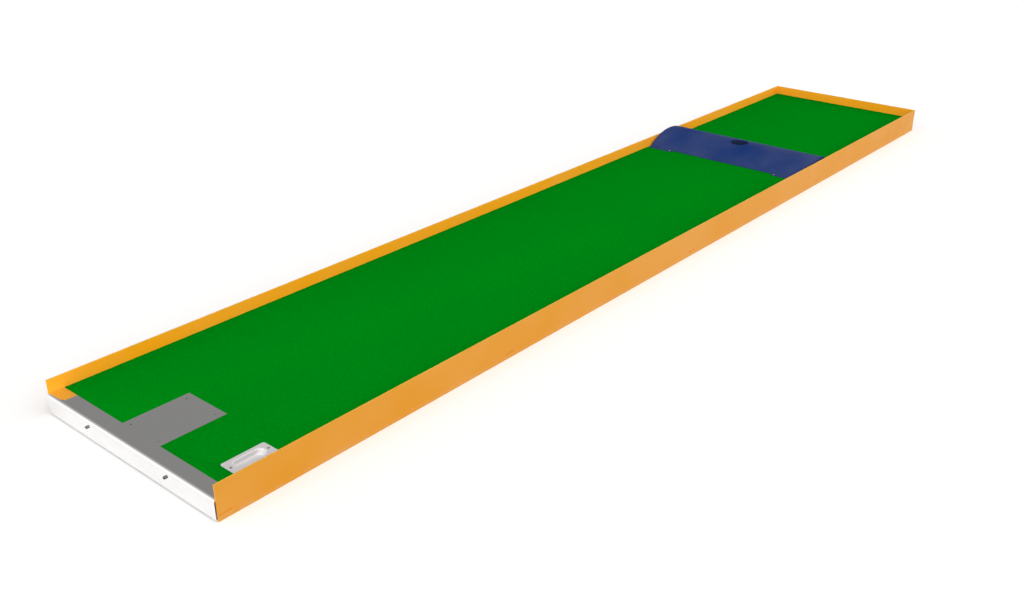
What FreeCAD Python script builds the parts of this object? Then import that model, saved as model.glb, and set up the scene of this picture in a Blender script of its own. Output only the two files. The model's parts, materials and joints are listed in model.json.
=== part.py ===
"""Railed practice putting lane: steel rails, green carpet on a boarded frame, blue hump with a cup.

Millimetres. Origin at the middle of the lane on the floor. X runs across the lane, Y along it
from the tee end (-Y) to the far end (+Y), and Z is up.
"""
import FreeCAD, Part
import math
import os

Vec = FreeCAD.Vector

# Driving dimensions
LENGTH = 5000.0          # overall, front bolt heads to the outside of the end rail
WIDTH = 900.0            # overall, across the rails
RAIL_HEIGHT = 125.0
RAIL_THICK = 4.0
PLAY_LEVEL = 77.0        # top of the carpet and of the steel tee sheet
CARPET_THICK = 7.0
BOARD_THICK = 15.0
STATION_PITCH = 1232.0   # spacing of the tabbed cross members
HUMP_Y = 1204.0          # crest of the hump
HUMP_RISE = 67.0
HUMP_RADIUS = 300.0      # outside of the bent shell

# Levels and lines that follow from them
HALF_LENGTH = LENGTH / 2
RAIL_INNER = WIDTH / 2 - RAIL_THICK
DECK_TOP = PLAY_LEVEL - CARPET_THICK
DECK_UNDER = DECK_TOP - BOARD_THICK
FIT_GAP = 0.5            # between laid pieces and what borders them
EDGE = RAIL_INNER - FIT_GAP
BOLT_PROUD = 6.0         # height of the front bolts' heads
FRONT = BOLT_PROUD - HALF_LENGTH
RAIL_START = FRONT + 6.0   # the skirt stands in front of the rails' ends

# Tee sheet: a strip across the lane, a tab along it and a skirt down the front
TEE_THICK = 2.0
TEE_STRIP_DEPTH = 60.0
TEE_TAB_HALF = 101.0
TEE_TAB_END = FRONT + 302.0
TEE_BEND = 16.0
SKIRT_BOTTOM = 6.0
SKIRT_RETURN = 8.0
TEE_SCREW_X = 75.0
TEE_SCREW_YS = (FRONT + 72.0, FRONT + 274.0)

# Ball tray beside the right rail
TRAY_X = 355.0
TRAY_Y = FRONT + 195.0
TRAY_WIDTH = 76.0
TRAY_LENGTH = 160.0
TRAY_CORNER = 8.0
TRAY_THICK = 1.5
TRAY_DEPTH = 18.0
TROUGH_WIDTH = 44.0
TROUGH_LENGTH = 115.0
TROUGH_RAMP = 8.0        # how far each end slopes in, from the mouth to the floor
TRAY_SCREW_OFFSET = 68.0

# Hump
SHELL_THICK = 2.5
HUMP_AXIS_Z = PLAY_LEVEL + HUMP_RISE - HUMP_RADIUS
HUMP_HALF_CHORD = math.sqrt(HUMP_RADIUS**2 - (HUMP_RADIUS - HUMP_RISE) ** 2)
HUMP_EDGE = RAIL_INNER - 8.0
END_NOTCH = (30.0, 8.0)  # half width and height of the drain notch in each end plate
HOLE_RADIUS = 47.0
CUP_WALL = 2.0
CUP_FLOOR = PLAY_LEVEL + 1.0
TAB_REACH = 19.0
TAB_INNER_X = 297.0
TAB_CORNER = 14.0
HUMP_SCREW_X = 311.0
HUMP_SCREW_OFFSET = HUMP_HALF_CHORD + 7.0

# Frame under the boards
MEMBER_BOTTOM = 21.0
MEMBER_WIDTH = 44.0
MEMBER_WALL = 2.5
BATTEN_WIDTH = 40.0
BATTEN_BOTTOM = 30.0
LEDGE_LEG = 40.0
LEDGE_THICK = 3.0
LEDGE_BOTTOM = 25.0
MEMBER_END = RAIL_INNER - LEDGE_THICK - FIT_GAP
GUSSET = 55.0

# Levelling feet, M12
FOOT_X = 390.0
STUD_RADIUS = 6.0
STUD_TOP = 50.0
PAD_RADIUS = 20.0
PAD_HEIGHT = 8.0
NUT_FLATS = 19.0
NUT_HEIGHT = 10.0
RUNNING_GAP = 0.05

# Front bolts, M6 with cylindrical heads
FRONT_BOLT_X = 211.0
FRONT_BOLT_Z = 47.0
FRONT_BOLT_HEAD = 5.0
FRONT_BOLT_RADIUS = 3.0
FRONT_BOLT_LENGTH = 30.0


def box(x0, x1, y0, y1, z0, z1):
    """Return a box between two corners."""
    return Part.makeBox(x1 - x0, y1 - y0, z1 - z0, Vec(x0, y0, z0))


def upright(radius, z0, z1, x=0.0, y=0.0):
    """Return a vertical cylinder."""
    return Part.makeCylinder(radius, z1 - z0, Vec(x, y, z0))


def hexagon(flats, length, base, axis):
    """Return a hexagonal prism with two flats facing the second direction across its axis."""
    side = flats / math.sqrt(3)
    ring = []
    for corner in range(7):
        angle = math.radians(60 * corner)
        across = side * math.cos(angle)
        other = side * math.sin(angle)
        ring.append(Vec(across, other, 0) if axis.z else Vec(across, 0, other))
    prism = Part.Face(Part.makePolygon(ring)).extrude(axis * length)
    prism.translate(base)
    return prism


def rounded_plate(width, length, radius, z0, z1, x=0.0, y=0.0):
    """Return a flat plate with four round corners, centred on x, y."""
    plate = box(x - width / 2, x + width / 2, y - length / 2, y + length / 2, z0, z1)
    corners = [edge for edge in plate.Edges if abs(edge.tangentAt(edge.FirstParameter).z) > 0.99]
    return plate.makeFillet(radius, corners)


def stadium_wire(width, length, z, x, y):
    """Return a closed loop with straight sides and half-round ends."""
    half = width / 2
    straight = (length - width) / 2

    def spot(dx, dy):
        return Vec(x + dx, y + dy, z)

    edges = [
        Part.LineSegment(spot(half, -straight), spot(half, straight)).toShape(),
        Part.Arc(spot(half, straight), spot(0, straight + half), spot(-half, straight)).toShape(),
        Part.LineSegment(spot(-half, straight), spot(-half, -straight)).toShape(),
        Part.Arc(spot(-half, -straight), spot(0, -straight - half), spot(half, -straight)).toShape(),
    ]
    return Part.Wire(edges)


def trough(grow, floor, mouth):
    """Return the trough's solid, with upright sides and sloping ends, grown by a wall."""
    width = TROUGH_WIDTH + 2 * grow
    length = TROUGH_LENGTH + 2 * grow
    slope = TROUGH_RAMP / TRAY_DEPTH
    upper = stadium_wire(width, length + 2 * slope * (mouth - PLAY_LEVEL), mouth, TRAY_X, TRAY_Y)
    lower = stadium_wire(width, length - 2 * slope * (PLAY_LEVEL - floor), floor, TRAY_X, TRAY_Y)
    return Part.makeLoft([upper, lower], True, True)


def countersunk(head, shank, head_depth, length, point, axis):
    """Return a countersunk screw with its flat face at point, running along axis."""
    cone = Part.makeCone(head, shank, head_depth, point, axis)
    stem = Part.makeCylinder(shank, length - head_depth, point + axis * head_depth, axis)
    return cone.fuse(stem).removeSplitter()


def hump_cylinder(radius):
    """Return the solid cylinder that one face of the bent hump shell follows."""
    start = Vec(-RAIL_INNER, HUMP_Y, HUMP_AXIS_Z)
    return Part.makeCylinder(radius, 2 * RAIL_INNER, start, Vec(1, 0, 0))


def save(name, *solids):
    """Write one node, made of one or more separate solids."""
    shape = solids[0] if len(solids) == 1 else Part.makeCompound(list(solids))
    shape.exportStep(os.path.join("parts", name + ".step"))
    volume = sum(solid.Volume for solid in solids) / 1000
    print(f"{name}: {len(solids)} solid(s), {volume:.1f} cm3, valid {shape.isValid()}")


def stations():
    """Return the Y positions of the five tabbed cross members."""
    return [STATION_PITCH * step for step in range(-2, 3)]


def make_rails():
    """Side rails with a slot at each cross member's tab, and the end rail between them."""
    half_slot = MEMBER_WIDTH / 2 - 0.5
    for name, side in (("left_rail", -1), ("right_rail", 1)):
        inner, outer = sorted((side * RAIL_INNER, side * WIDTH / 2))
        rail = box(inner, outer, RAIL_START, HALF_LENGTH, 0, RAIL_HEIGHT)
        top_edges = [
            edge for edge in rail.Edges
            if edge.BoundBox.ZMin > RAIL_HEIGHT - 0.1 and edge.BoundBox.YLength > WIDTH
        ]
        rail = rail.makeFillet(1.0, top_edges)
        for y in stations():
            low = MEMBER_BOTTOM - 0.4
            high = MEMBER_BOTTOM + MEMBER_WALL + 0.4
            rail = rail.cut(box(inner - 1, outer + 1, y - half_slot, y + half_slot, low, high))
        save(name, rail)
    end = box(-RAIL_INNER, RAIL_INNER, HALF_LENGTH - RAIL_THICK, HALF_LENGTH, 0, RAIL_HEIGHT)
    top_edges = [
        edge for edge in end.Edges
        if edge.BoundBox.ZMin > RAIL_HEIGHT - 0.1 and edge.BoundBox.XLength > WIDTH / 2
    ]
    save("end_rail", end.makeFillet(1.0, top_edges))


def make_ledges():
    """Steel angles welded inside the side rails, which carry the boards' edges."""
    start = RAIL_START + 1
    stop = HALF_LENGTH - 10
    for name, side in (("left_ledge", -1), ("right_ledge", 1)):
        wall = sorted((side * RAIL_INNER, side * (RAIL_INNER - LEDGE_THICK)))
        leg = sorted((side * RAIL_INNER, side * (RAIL_INNER - LEDGE_LEG)))
        upright_leg = box(*wall, start, stop, LEDGE_BOTTOM, DECK_UNDER)
        flat_leg = box(*leg, start, stop, DECK_UNDER - LEDGE_THICK, DECK_UNDER)
        save(name, upright_leg.fuse(flat_leg).removeSplitter())


def hollow_member(y, width, bottom):
    """Return a box tube across the lane, notched at both ends for the ledges."""
    wall = MEMBER_WALL
    tube = box(-MEMBER_END, MEMBER_END, y - width / 2, y + width / 2, bottom, DECK_UNDER)
    inside = box(
        -WIDTH, WIDTH, y - width / 2 + wall, y + width / 2 - wall, bottom + wall, DECK_UNDER - wall
    )
    tube = tube.cut(inside)
    notch_start = RAIL_INNER - LEDGE_LEG - FIT_GAP
    for side in (-1, 1):
        span = sorted((side * notch_start, side * WIDTH))
        notch = box(*span, y - width, y + width, DECK_UNDER - LEDGE_THICK, DECK_UNDER + 1)
        tube = tube.cut(notch)
    return tube


def make_members():
    """Five cross members whose tabs pass through the rails, and battens between them."""
    half_tab = MEMBER_WIDTH / 2 - 1.2
    tab_end = WIDTH / 2 - 2.6
    for number, y in enumerate(stations(), start=1):
        member = hollow_member(y, MEMBER_WIDTH, MEMBER_BOTTOM)
        for side in (-1, 1):
            span = sorted((side * (MEMBER_END - 1), side * tab_end))
            top = MEMBER_BOTTOM + MEMBER_WALL
            member = member.fuse(box(*span, y - half_tab, y + half_tab, MEMBER_BOTTOM, top))
            if number % 2:
                hole = upright(STUD_RADIUS + 0.5, 0, top + 1, side * FOOT_X, y)
                member = member.cut(hole)
        if number == 1:
            for side in (-1, 1):
                start = Vec(side * FRONT_BOLT_X, y - MEMBER_WIDTH, FRONT_BOLT_Z)
                hole = Part.makeCylinder(FRONT_BOLT_RADIUS + 0.25, MEMBER_WIDTH, start, Vec(0, 1, 0))
                member = member.cut(hole)
        save(f"cross_member_{number}", member.removeSplitter())
    middles = [STATION_PITCH * (step + 0.5) for step in range(-2, 2)]
    save("battens", *[hollow_member(y, BATTEN_WIDTH, BATTEN_BOTTOM) for y in middles])


def make_gussets():
    """Triangular plates that tie the end rail to the side rails, low down inside the corners."""
    plates = []
    corner_y = HALF_LENGTH - RAIL_THICK
    for side in (-1, 1):
        ring = [
            Vec(side * RAIL_INNER, corner_y, 8),
            Vec(side * (RAIL_INNER - GUSSET), corner_y, 8),
            Vec(side * RAIL_INNER, corner_y - GUSSET, 8),
        ]
        face = Part.Face(Part.makePolygon(ring + ring[:1]))
        plates.append(face.extrude(Vec(0, 0, LEDGE_THICK)))
    save("corner_gussets", *plates)


def make_boards():
    """Three boards end to end, the first one cut out for the ball tray."""
    joints = [FRONT + 18, -STATION_PITCH / 2, STATION_PITCH / 2, HALF_LENGTH - RAIL_THICK - FIT_GAP]
    names = ("deck_board_front", "deck_board_middle", "deck_board_rear")
    for name, start, stop in zip(names, joints, joints[1:]):
        board = box(-EDGE, EDGE, start, stop - FIT_GAP, DECK_UNDER, DECK_TOP)
        if name == "deck_board_front":
            half_w = TROUGH_WIDTH / 2 + 4
            half_l = TROUGH_LENGTH / 2 + 4
            hole = (TRAY_X - half_w, TRAY_X + half_w, TRAY_Y - half_l, TRAY_Y + half_l)
            board = board.cut(box(*hole, 0, RAIL_HEIGHT))
        save(name, board)


def make_deck_screws():
    """Countersunk screws that hold the boards to the cross members, under the carpet."""
    screws = []
    for y in stations():
        for x in (-380.0, -130.0, 130.0, 380.0):
            point = Vec(x, y + (15 if y < 0 else -15), DECK_TOP)
            screws.append(countersunk(4.0, 2.0, 2.5, 20.0, point, Vec(0, 0, -1)))
    save("deck_screws", *screws)


def make_carpet():
    """Carpet with a T-shaped notch for the tee sheet and a window for the ball tray."""
    start = FRONT + TEE_STRIP_DEPTH + FIT_GAP
    carpet = box(-EDGE, EDGE, start, HALF_LENGTH - RAIL_THICK - FIT_GAP, DECK_TOP, PLAY_LEVEL)
    half = TEE_TAB_HALF + FIT_GAP
    notch = box(-half, half, start - 1, TEE_TAB_END + FIT_GAP, 0, RAIL_HEIGHT)
    window = rounded_plate(
        TRAY_WIDTH + 2 * FIT_GAP, TRAY_LENGTH + 2 * FIT_GAP, TRAY_CORNER + FIT_GAP,
        0, RAIL_HEIGHT, TRAY_X, TRAY_Y,
    )
    save("carpet", carpet.cut(notch).cut(window))


def tee_profile():
    """Return the bent section of the strip and skirt as a face in the YZ plane at x = 0."""
    top = PLAY_LEVEL
    back = FRONT + TEE_STRIP_DEPTH
    inner = TEE_BEND - TEE_THICK
    low = SKIRT_BOTTOM
    centre = Vec(0, FRONT + TEE_BEND, top - TEE_BEND)

    def on_bend(radius):
        diagonal = radius * math.sqrt(0.5)
        return centre + Vec(0, -diagonal, diagonal)

    outer_arc = (Vec(0, FRONT, centre.z), on_bend(TEE_BEND), Vec(0, centre.y, top))
    inner_arc = (
        Vec(0, centre.y, top - TEE_THICK),
        on_bend(inner),
        Vec(0, FRONT + TEE_THICK, centre.z),
    )
    before = [Vec(0, centre.y, top), Vec(0, back, top), Vec(0, back, top - TEE_THICK), inner_arc[0]]
    after = [
        inner_arc[2],
        Vec(0, FRONT + TEE_THICK, low + TEE_THICK),
        Vec(0, FRONT + SKIRT_RETURN, low + TEE_THICK),
        Vec(0, FRONT + SKIRT_RETURN, low),
        Vec(0, FRONT, low),
        outer_arc[0],
    ]
    edges = [Part.Arc(*outer_arc).toShape(), Part.Arc(*inner_arc).toShape()]
    for run in (before, after):
        edges += [Part.LineSegment(a, b).toShape() for a, b in zip(run, run[1:])]
    return Part.Face(Part.Wire(Part.__sortEdges__(edges)))


def make_tee():
    """Polished tee sheet, the packer under it, its screws and the two front bolts."""
    sheet = tee_profile()
    sheet.translate(Vec(-EDGE, 0, 0))
    sheet = sheet.extrude(Vec(2 * EDGE, 0, 0))
    top = PLAY_LEVEL
    under = top - TEE_THICK
    tab_start = FRONT + TEE_STRIP_DEPTH - 1
    tab = box(-TEE_TAB_HALF, TEE_TAB_HALF, tab_start, TEE_TAB_END, under, top)
    sheet = sheet.fuse(tab).removeSplitter()
    screws = []
    for x in (-TEE_SCREW_X, TEE_SCREW_X):
        for y in TEE_SCREW_YS:
            screw = countersunk(4.0, 2.0, TEE_THICK, 20.0, Vec(x, y, top), Vec(0, 0, -1))
            sheet = sheet.cut(screw)
            screws.append(screw)
    save("tee_screws", *screws)

    packer_front = FRONT + TEE_BEND
    strip_back = FRONT + TEE_STRIP_DEPTH - 1
    packer = box(-EDGE + 1, EDGE - 1, packer_front, strip_back, DECK_TOP, under)
    inset = TEE_TAB_HALF - 1
    packer = packer.fuse(box(-inset, inset, packer_front, TEE_TAB_END - 1, DECK_TOP, under))
    save("tee_packer", packer.removeSplitter())

    bolts = []
    nuts = []
    spacers = []
    inward = Vec(0, 1, 0)
    member_face = -2 * STATION_PITCH - MEMBER_WIDTH / 2
    nut_start = member_face + MEMBER_WALL
    spacer_start = FRONT + TEE_THICK
    for x in (-FRONT_BOLT_X, FRONT_BOLT_X):
        seat = Vec(x, FRONT, FRONT_BOLT_Z)
        top_of_head = seat - inward * BOLT_PROUD
        head = Part.makeCylinder(FRONT_BOLT_HEAD, BOLT_PROUD, top_of_head, inward)
        shank = Part.makeCylinder(FRONT_BOLT_RADIUS, FRONT_BOLT_LENGTH, seat, inward)
        sheet = sheet.cut(shank)
        spacer = Part.makeCylinder(
            9.0, member_face - spacer_start, Vec(x, spacer_start, FRONT_BOLT_Z), inward
        )
        spacers.append(spacer.cut(shank))
        nut_base = Vec(x, nut_start, FRONT_BOLT_Z)
        nuts.append(hexagon(10.0, 5.0, nut_base, inward).cut(shank))
        socket = hexagon(5.0, 3.0, top_of_head - inward * 0.01, inward)
        bolts.append(head.fuse(shank).removeSplitter().cut(socket))
    save("tee_sheet", sheet)
    save("front_bolts", *bolts)
    save("front_bolt_nuts", *nuts)
    save("front_bolt_spacers", *spacers)


def make_tray():
    """Pressed steel tray for spare balls, the packer under its rim and its two screws."""
    top = PLAY_LEVEL
    wall = TRAY_THICK
    rim = rounded_plate(TRAY_WIDTH, TRAY_LENGTH, TRAY_CORNER, top - wall, top, TRAY_X, TRAY_Y)
    outside = trough(wall, top - TRAY_DEPTH - wall, top)
    inside = trough(0.0, top - TRAY_DEPTH, top + 1)
    tray = rim.fuse(outside).cut(inside).removeSplitter()
    screws = []
    for offset in (-TRAY_SCREW_OFFSET, TRAY_SCREW_OFFSET):
        point = Vec(TRAY_X, TRAY_Y + offset, top)
        screw = countersunk(4.0, 2.0, wall, 20.0, point, Vec(0, 0, -1))
        tray = tray.cut(screw)
        screws.append(screw)
    save("ball_tray", tray)
    save("tray_screws", *screws)

    half_w = TROUGH_WIDTH / 2 + 4
    half_l = TROUGH_LENGTH / 2 + 4
    packer = rounded_plate(
        TRAY_WIDTH - 1, TRAY_LENGTH - 1, TRAY_CORNER, DECK_TOP, top - wall, TRAY_X, TRAY_Y
    )
    hole = (TRAY_X - half_w, TRAY_X + half_w, TRAY_Y - half_l, TRAY_Y + half_l)
    save("tray_packer", packer.cut(box(*hole, 0, RAIL_HEIGHT)))


def make_hump():
    """Bent steel hump with its end plates, foot tabs and screws, and the cup below its hole."""
    shell = hump_cylinder(HUMP_RADIUS).cut(hump_cylinder(HUMP_RADIUS - SHELL_THICK))
    keep = box(
        -HUMP_EDGE, HUMP_EDGE, HUMP_Y - HUMP_RADIUS, HUMP_Y + HUMP_RADIUS,
        PLAY_LEVEL, 2 * RAIL_HEIGHT,
    )
    shell = shell.common(keep).cut(upright(HOLE_RADIUS, PLAY_LEVEL, 2 * RAIL_HEIGHT, 0, HUMP_Y))
    save("hump_shell", shell)

    plates = []
    notch_half, notch_top = END_NOTCH
    for side in (-1, 1):
        xs = sorted((side * HUMP_EDGE, side * (HUMP_EDGE - SHELL_THICK)))
        slab = box(*xs, HUMP_Y - HUMP_RADIUS, HUMP_Y + HUMP_RADIUS, PLAY_LEVEL, 2 * RAIL_HEIGHT)
        notch = box(*xs, HUMP_Y - notch_half, HUMP_Y + notch_half, 0, PLAY_LEVEL + notch_top)
        plates.append(slab.common(hump_cylinder(HUMP_RADIUS - SHELL_THICK)).cut(notch))
    save("hump_ends", *plates)

    tabs = []
    screws = []
    plate_top = PLAY_LEVEL + SHELL_THICK
    for side in (-1, 1):
        for way in (-1, 1):
            near = HUMP_Y + way * (HUMP_HALF_CHORD - 10)
            far = HUMP_Y + way * (HUMP_HALF_CHORD + TAB_REACH)
            xs = sorted((side * TAB_INNER_X, side * HUMP_EDGE))
            ys = sorted((near, far))
            tab = box(*xs, *ys, PLAY_LEVEL, plate_top)
            rounded = [
                edge for edge in tab.Edges
                if edge.BoundBox.ZLength > SHELL_THICK / 2
                and abs(edge.CenterOfMass.y - far) < 0.1
            ]
            tab = tab.makeFillet(TAB_CORNER, rounded).cut(hump_cylinder(HUMP_RADIUS))
            x = side * HUMP_SCREW_X
            y = HUMP_Y + way * HUMP_SCREW_OFFSET
            tabs.append(tab.cut(upright(2.0, 0, RAIL_HEIGHT, x, y)))
            head = upright(5.0, plate_top, plate_top + 2.5, x, y)
            rim = [edge for edge in head.Edges if edge.BoundBox.ZMin > plate_top + 2]
            head = head.makeFillet(1.5, rim)
            screws.append(head.fuse(upright(2.0, DECK_UNDER + 3, plate_top, x, y)).removeSplitter())
    save("hump_tabs", *tabs)
    save("hump_screws", *screws)

    cup = upright(HOLE_RADIUS, CUP_FLOOR, 2 * RAIL_HEIGHT, 0, HUMP_Y)
    hollow = upright(HOLE_RADIUS - CUP_WALL, CUP_FLOOR + CUP_WALL, 3 * RAIL_HEIGHT, 0, HUMP_Y)
    save("cup_liner", cup.cut(hollow).common(hump_cylinder(HUMP_RADIUS - SHELL_THICK)))


def make_feet():
    """Six levelling feet: weld nuts on the cross members, threaded studs and round pads."""
    nuts = []
    seat = MEMBER_BOTTOM + MEMBER_WALL
    names = ("front", "middle", "rear")
    for place, y in zip(names, stations()[::2]):
        for side_name, side in (("left", -1), ("right", 1)):
            x = side * FOOT_X
            nut = hexagon(NUT_FLATS, NUT_HEIGHT, Vec(x, y, seat), Vec(0, 0, 1))
            nuts.append(nut.cut(upright(STUD_RADIUS + RUNNING_GAP, 0, RAIL_HEIGHT, x, y)))
            stud = upright(STUD_RADIUS, PAD_HEIGHT, STUD_TOP, x, y)
            collar = hexagon(17.0, 5.0, Vec(x, y, PAD_HEIGHT), Vec(0, 0, 1))
            save(f"foot_stud_{place}_{side_name}", stud.fuse(collar).removeSplitter())
            pad = upright(PAD_RADIUS, 0, PAD_HEIGHT, x, y)
            rim = [edge for edge in pad.Edges if edge.BoundBox.ZMin > PAD_HEIGHT - 0.1]
            save(f"foot_pad_{place}_{side_name}", pad.makeFillet(2.0, rim))
    save("foot_nuts", *nuts)


def main():
    """Write every node's STEP file."""
    os.makedirs("parts", exist_ok=True)
    make_rails()
    make_ledges()
    make_members()
    make_gussets()
    make_boards()
    make_deck_screws()
    make_carpet()
    make_tee()
    make_tray()
    make_hump()
    make_feet()


main()
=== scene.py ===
"""Looks of a railed practice putting lane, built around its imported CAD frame.

Every length is in metres and every position is in the lane's own frame: X across the lane,
Y along it from the tee to the far end, Z up from the floor.
"""

import json
import logging
import math
import random
from collections.abc import Sequence
from dataclasses import dataclass, field
from enum import Enum

import bmesh
import bpy
from mathutils import Matrix, Vector

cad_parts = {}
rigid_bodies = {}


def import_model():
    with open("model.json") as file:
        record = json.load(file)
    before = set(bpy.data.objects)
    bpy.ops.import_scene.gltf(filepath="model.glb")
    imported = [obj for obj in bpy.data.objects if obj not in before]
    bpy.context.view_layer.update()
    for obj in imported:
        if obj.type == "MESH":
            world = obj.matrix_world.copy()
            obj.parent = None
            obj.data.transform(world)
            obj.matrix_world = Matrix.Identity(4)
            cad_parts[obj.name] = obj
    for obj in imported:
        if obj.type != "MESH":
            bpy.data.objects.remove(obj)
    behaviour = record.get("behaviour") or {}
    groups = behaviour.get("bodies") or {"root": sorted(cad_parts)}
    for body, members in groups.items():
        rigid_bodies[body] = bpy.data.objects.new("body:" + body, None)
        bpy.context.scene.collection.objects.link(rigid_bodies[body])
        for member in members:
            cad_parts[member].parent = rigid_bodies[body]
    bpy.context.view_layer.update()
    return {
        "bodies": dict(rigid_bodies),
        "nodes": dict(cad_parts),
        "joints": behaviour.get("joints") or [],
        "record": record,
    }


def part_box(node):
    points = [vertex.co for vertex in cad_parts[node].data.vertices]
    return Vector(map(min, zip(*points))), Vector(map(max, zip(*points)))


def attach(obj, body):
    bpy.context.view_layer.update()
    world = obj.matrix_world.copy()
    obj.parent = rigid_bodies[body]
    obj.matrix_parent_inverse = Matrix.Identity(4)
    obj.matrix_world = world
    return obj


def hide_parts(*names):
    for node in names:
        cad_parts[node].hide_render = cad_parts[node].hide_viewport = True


LOG = logging.getLogger("putting_lane")
BODY = "lane"

Colour = tuple[float, float, float]
Point = tuple[float, float, float]
Flat = tuple[float, float]
Output = bpy.types.NodeSocket
Value = float | Colour | Output

MERGE = 1e-7  # Vertices nearer than this are one.
NEARLY_ZERO = 1e-6
MIX_A, MIX_B, MIX_RESULT = 6, 7, 2  # A mix node's colour inputs and colour output.
PIP = 0.0005  # Radius that a turned shape's end closes to.
SOFT_EDGE = 0.0002  # Break of a thin sheet's edges.
SHANK = 0.0020  # Radius of the wood screws' shanks.
SHANK_TIP: Flat = (0.0004, -0.020)
UP: Point = (0.0, 0.0, 1.0)
WELD_SHARP = 60.0
DECK_BOARDS = ("deck_board_front", "deck_board_middle", "deck_board_rear")


class Socket(Enum):
    """Drive recess in a screw's head."""

    CROSS = "cross"
    HEX = "hex"


class Side(Enum):
    """Side of the lane, seen from the tee."""

    LEFT = -1
    RIGHT = 1


# --------------------------------------------------------------------------- shader graphs


class Graph:
    """Adds and joins the nodes of one material, with textures in the lane's own metres."""

    def __init__(self, name: str) -> None:
        """Start a material with one Principled shader.

        Args:
            name: Name of the new material.
        """
        self.material = bpy.data.materials.new(name)
        self.material.use_nodes = True
        self.nodes = self.material.node_tree.nodes
        self.links = self.material.node_tree.links
        self.shader = self.nodes["Principled BSDF"]
        self.place = self.nodes.new("ShaderNodeTexCoord").outputs["Object"]

    def feed(self, target: Output, value: Value) -> None:
        """Join an output to a socket, or set a plain value on it."""
        if isinstance(value, bpy.types.NodeSocket):
            self.links.new(value, target)
        elif isinstance(value, tuple) and target.type == "RGBA":
            target.default_value = (*value, 1.0)
        else:
            target.default_value = value

    def finish(self, **values: Value) -> bpy.types.Material:
        """Set or join the shader's sockets and return the material.

        Args:
            values: One value or output for each socket; underscores in a name stand for spaces.

        Returns:
            The finished material.
        """
        for name, value in values.items():
            self.feed(self.shader.inputs[name.replace("_", " ")], value)
        return self.material

    def add(self, kind: str, **inputs: Value) -> bpy.types.Node:
        """Add a node and feed its sockets; underscores in a name stand for spaces."""
        node = self.nodes.new("ShaderNode" + kind)
        for name, value in inputs.items():
            self.feed(node.inputs[name.replace("_", " ")], value)
        return node

    def where(self, stretch: Point | None) -> Output:
        """Return the position, scaled along each axis for streaks and grain if stretch is given."""
        if stretch is None:
            return self.place
        return self.add("Mapping", Vector=self.place, Scale=stretch).outputs["Vector"]

    def noise(self, scale: float, detail: float = 2.0, stretch: Point | None = None) -> Output:
        """Return a soft cloud between 0 and 1.

        Args:
            scale: Clouds per metre, before any stretch.
            detail: Octaves of finer cloud.
            stretch: Scale along X, Y and Z, or None where the cloud is even.

        Returns:
            The noise node's factor output.
        """
        vector = self.where(stretch)
        return self.add("TexNoise", Scale=scale, Detail=detail, Vector=vector).outputs["Fac"]

    def cells(self, scale: float, output: str = "Distance") -> Output:
        """Return a Voronoi pattern's distance or colour."""
        return self.add("TexVoronoi", Scale=scale, Vector=self.place).outputs[output]

    def axis(self, name: str) -> Output:
        """Return one coordinate of the position."""
        return self.add("SeparateXYZ", Vector=self.place).outputs[name]

    def span(
        self, value: Output, low: float, high: float, start: float = 0.0, end: float = 1.0
    ) -> Output:
        """Return value mapped from low..high to start..end and held at the ends."""
        node = self.add("MapRange", Value=value, From_Min=low, From_Max=high, To_Min=start, To_Max=end)
        return node.outputs["Result"]

    def math(self, operation: str, first: Value, second: Value) -> Output:
        """Return the result of one arithmetic node."""
        node = self.add("Math")
        node.operation = operation
        self.feed(node.inputs[0], first)
        self.feed(node.inputs[1], second)
        return node.outputs["Value"]

    def blend(self, factor: Value, first: Value, second: Value) -> Output:
        """Return a colour between first and second."""
        node = self.add("Mix")
        node.data_type = "RGBA"
        self.feed(node.inputs["Factor"], factor)
        self.feed(node.inputs[MIX_A], first)
        self.feed(node.inputs[MIX_B], second)
        return node.outputs[MIX_RESULT]

    def bump(
        self, height: Output, distance: float, strength: float, under: Output | None = None
    ) -> Output:
        """Return a normal bent by a height pattern.

        Args:
            height: Pattern between 0 and 1.
            distance: Depth of the pattern in metres.
            strength: Share of the effect.
            under: Another bump's normal to build on, or None.

        Returns:
            The bump node's normal output.
        """
        node = self.add("Bump", Distance=distance, Strength=strength, Height=height)
        if under is not None:
            self.feed(node.inputs["Normal"], under)
        return node.outputs["Normal"]


def shaded(colour: Colour, share: float) -> Colour:
    """Return a colour made lighter or darker by a share."""
    return tuple(min(1.0, part * share) for part in colour)


# --------------------------------------------------------------------------- finishes


@dataclass(frozen=True)
class Finish:
    """A surface with the name of its material; each kind builds that material in its own way."""

    name: str

    def material(self) -> bpy.types.Material:
        """Build the finish's material."""
        raise NotImplementedError


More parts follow.
